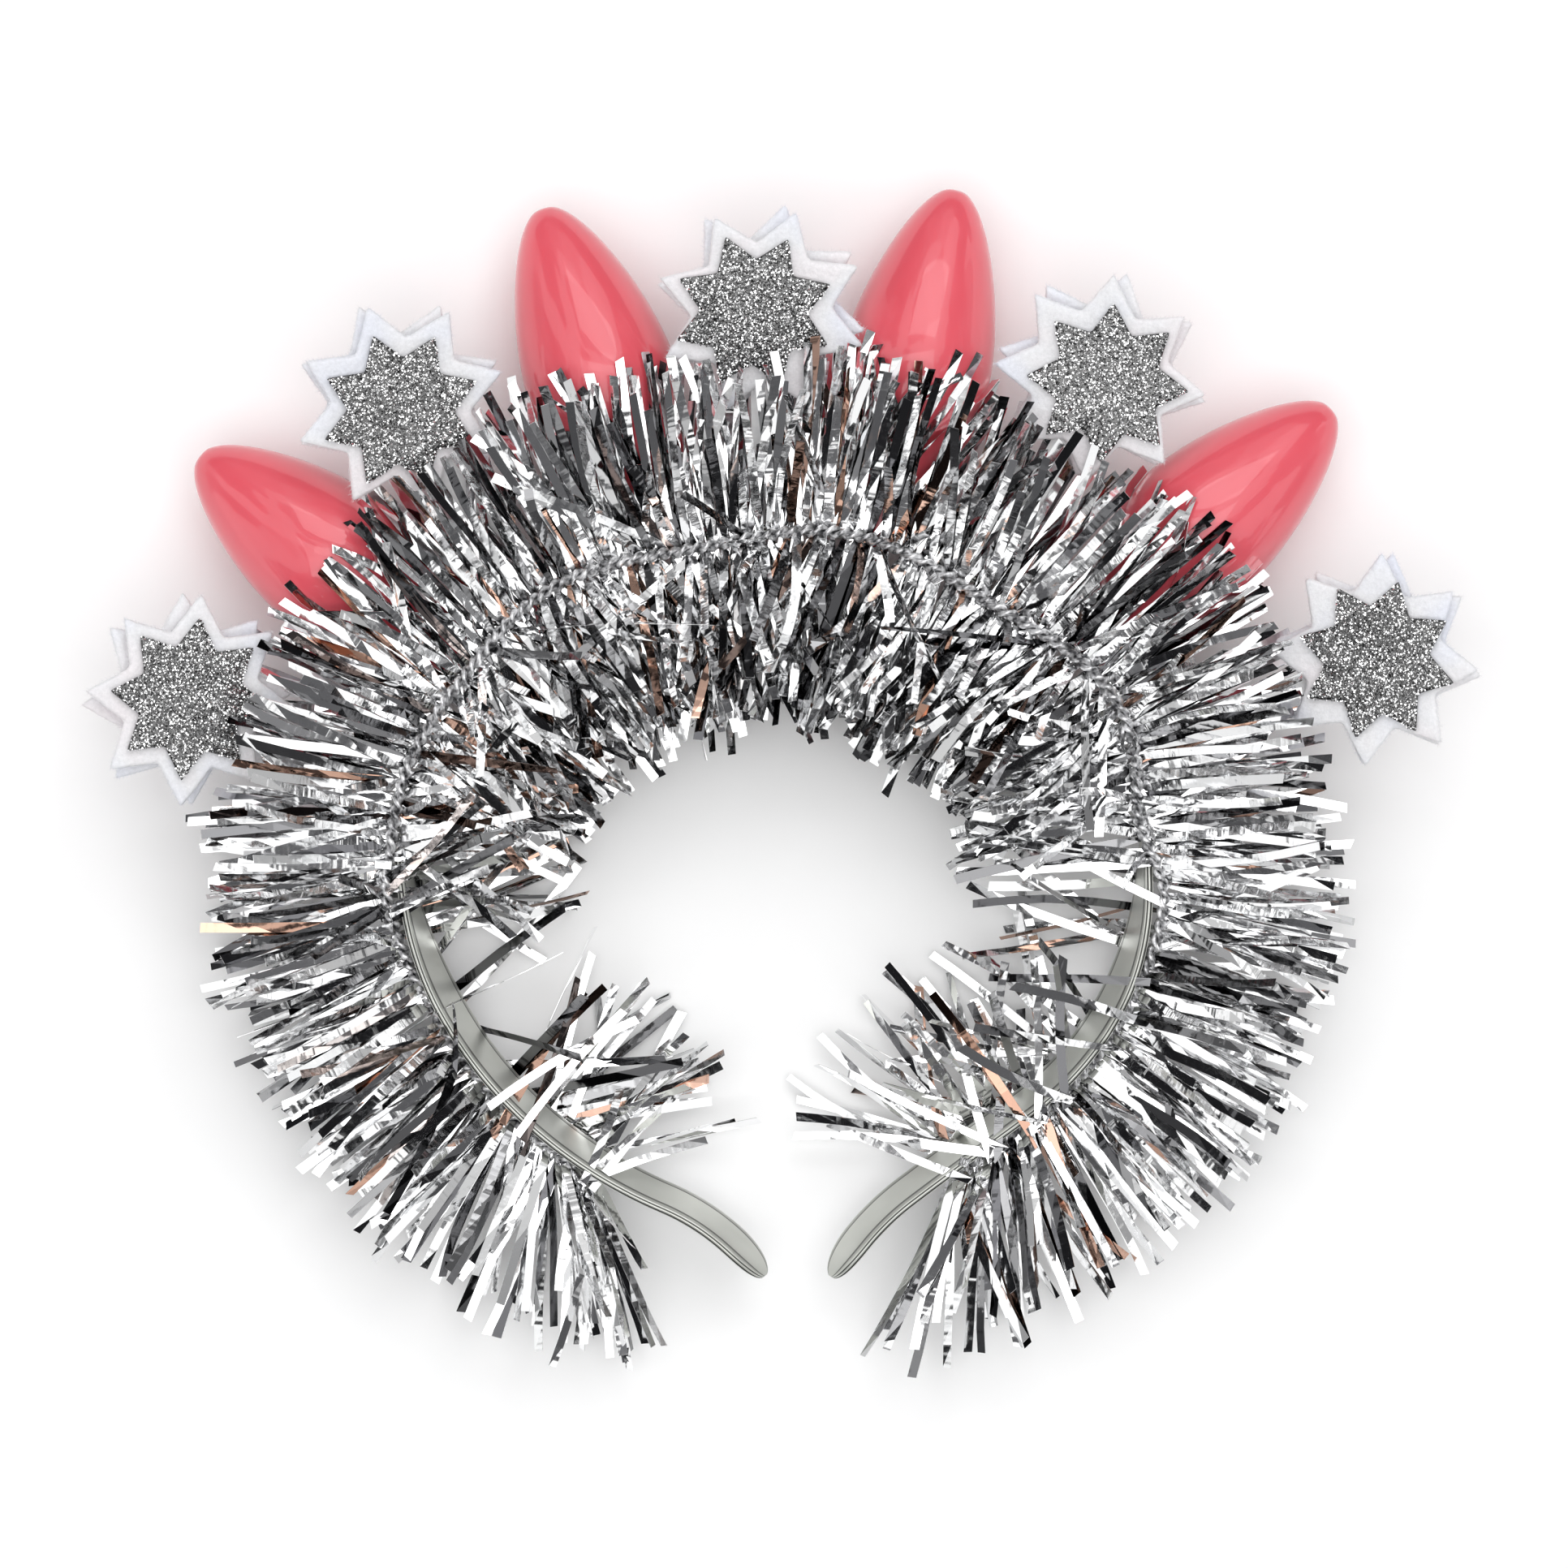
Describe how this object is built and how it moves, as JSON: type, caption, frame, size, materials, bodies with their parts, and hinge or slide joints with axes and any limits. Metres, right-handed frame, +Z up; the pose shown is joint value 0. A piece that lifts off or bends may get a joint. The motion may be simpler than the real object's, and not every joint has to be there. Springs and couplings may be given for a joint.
{
  "type": "tinsel headband",
  "caption": "Thin C-shaped plastic headband carrying a silver tinsel garland, upright glossy pink ornament bulbs and felt stars with glitter faces, worn over the head.",
  "frame": {"origin": "middle of the bounding box's underside, on the surface that the headband lies on", "axes": "+Z up, out of the front of the arch as it lies on its side; +Y in the arch's plane towards the crown; +X in the arch's plane towards the right side of the picture"},
  "size_m": [0.2324, 0.1968, 0.04],
  "materials": {
    "silvered_plastic": "metallised silver, glossy",
    "foil": "bright silver mirror foil",
    "pink_plastic": "glossy coral pink",
    "felt": "white felt",
    "glitter": "silver glitter, sparkling",
    "post_plastic": "plain"
  },
  "bodies": {
    "root": {"headband": "silvered_plastic", "tinsel_garland": "foil", "bulb_1": "pink_plastic", "bulb_2": "pink_plastic", "bulb_3": "pink_plastic", "bulb_4": "pink_plastic", "star_1_front": "felt", "star_1_back": "felt", "star_1_glitter": "glitter", "star_1_post": "post_plastic", "star_2_front": "felt", "star_2_back": "felt", "star_2_glitter": "glitter", "star_2_post": "post_plastic", "star_3_front": "felt", "star_3_back": "felt", "star_3_glitter": "glitter", "star_3_post": "post_plastic", "star_4_front": "felt", "star_4_back": "felt", "star_4_glitter": "glitter", "star_4_post": "post_plastic", "star_5_front": "felt", "star_5_back": "felt", "star_5_glitter": "glitter", "star_5_post": "post_plastic"}
  },
  "joints": []
}
